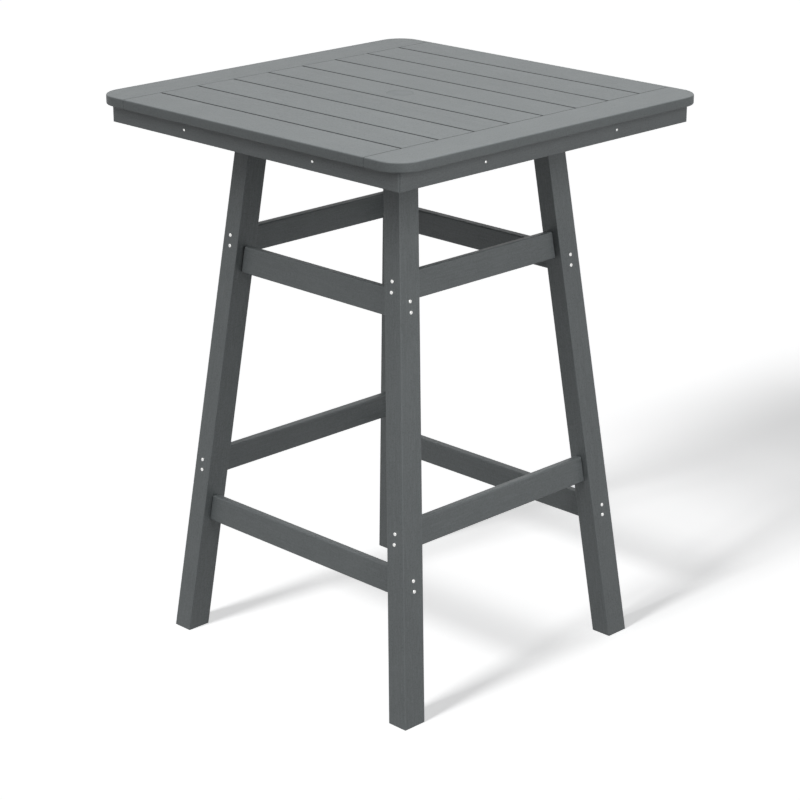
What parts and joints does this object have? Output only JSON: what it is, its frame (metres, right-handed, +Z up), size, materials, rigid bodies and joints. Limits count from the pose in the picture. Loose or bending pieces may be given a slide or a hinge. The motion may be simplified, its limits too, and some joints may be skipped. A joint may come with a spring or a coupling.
{
  "type": "outdoor bar table",
  "caption": "Square bar-height patio table: slatted top with end boards and a capped umbrella hole, on splayed tapered legs tied by upper and lower stretchers.",
  "frame": {"origin": "on the floor, under the middle of the top", "axes": "+Z up; the slats run along Y, front to back, and the end boards and the cross rails run along X"},
  "size_m": [0.787, 0.787, 1.067],
  "materials": {
    "slat_lumber": "satin, fine moulded grain",
    "end_board_lumber": "satin, fine moulded grain",
    "apron_lumber": "satin, fine moulded grain",
    "rail_lumber": "satin, fine moulded grain",
    "leg_lumber": "satin, fine moulded grain",
    "stretcher_lumber": "satin, fine moulded grain",
    "cap_plastic": "satin",
    "stainless_screw_steel": "bright",
    "apron_screw_steel": "bright",
    "bolt_steel": "dull"
  },
  "bodies": {
    "table": {"apron_back": "apron_lumber", "apron_front": "apron_lumber", "apron_left": "apron_lumber", "apron_right": "apron_lumber", "apron_screws_along_x": "apron_screw_steel", "apron_screws_along_y": "apron_screw_steel", "end_board_back": "end_board_lumber", "end_board_front": "end_board_lumber", "end_board_screws": "stainless_screw_steel", "leg_back_left": "leg_lumber", "leg_back_right": "leg_lumber", "leg_bolts_along_x": "bolt_steel", "leg_bolts_along_y": "bolt_steel", "leg_front_left": "leg_lumber", "leg_front_right": "leg_lumber", "lower_screws_along_x": "stainless_screw_steel", "lower_screws_along_y": "stainless_screw_steel", "lower_stretcher_back": "stretcher_lumber", "lower_stretcher_front": "stretcher_lumber", "lower_stretcher_left": "stretcher_lumber", "lower_stretcher_right": "stretcher_lumber", "rail_back": "rail_lumber", "rail_front": "rail_lumber", "rail_left": "rail_lumber", "rail_right": "rail_lumber", "slat_1": "slat_lumber", "slat_2": "slat_lumber", "slat_3": "slat_lumber", "slat_4": "slat_lumber", "slat_5": "slat_lumber", "slat_6": "slat_lumber", "slat_7": "slat_lumber", "slat_8": "slat_lumber", "slat_9": "slat_lumber", "slat_screws": "stainless_screw_steel", "upper_screws_along_x": "stainless_screw_steel", "upper_screws_along_y": "stainless_screw_steel", "upper_stretcher_back": "stretcher_lumber", "upper_stretcher_front": "stretcher_lumber", "upper_stretcher_left": "stretcher_lumber", "upper_stretcher_right": "stretcher_lumber"},
    "umbrella_cap": {"umbrella_cap": "cap_plastic"}
  },
  "joints": [
    {"name": "cap_lift", "type": "slide", "parent": "table", "child": "umbrella_cap", "axis": [0, 0, 1], "range_m": [0, 0.05]}
  ]
}
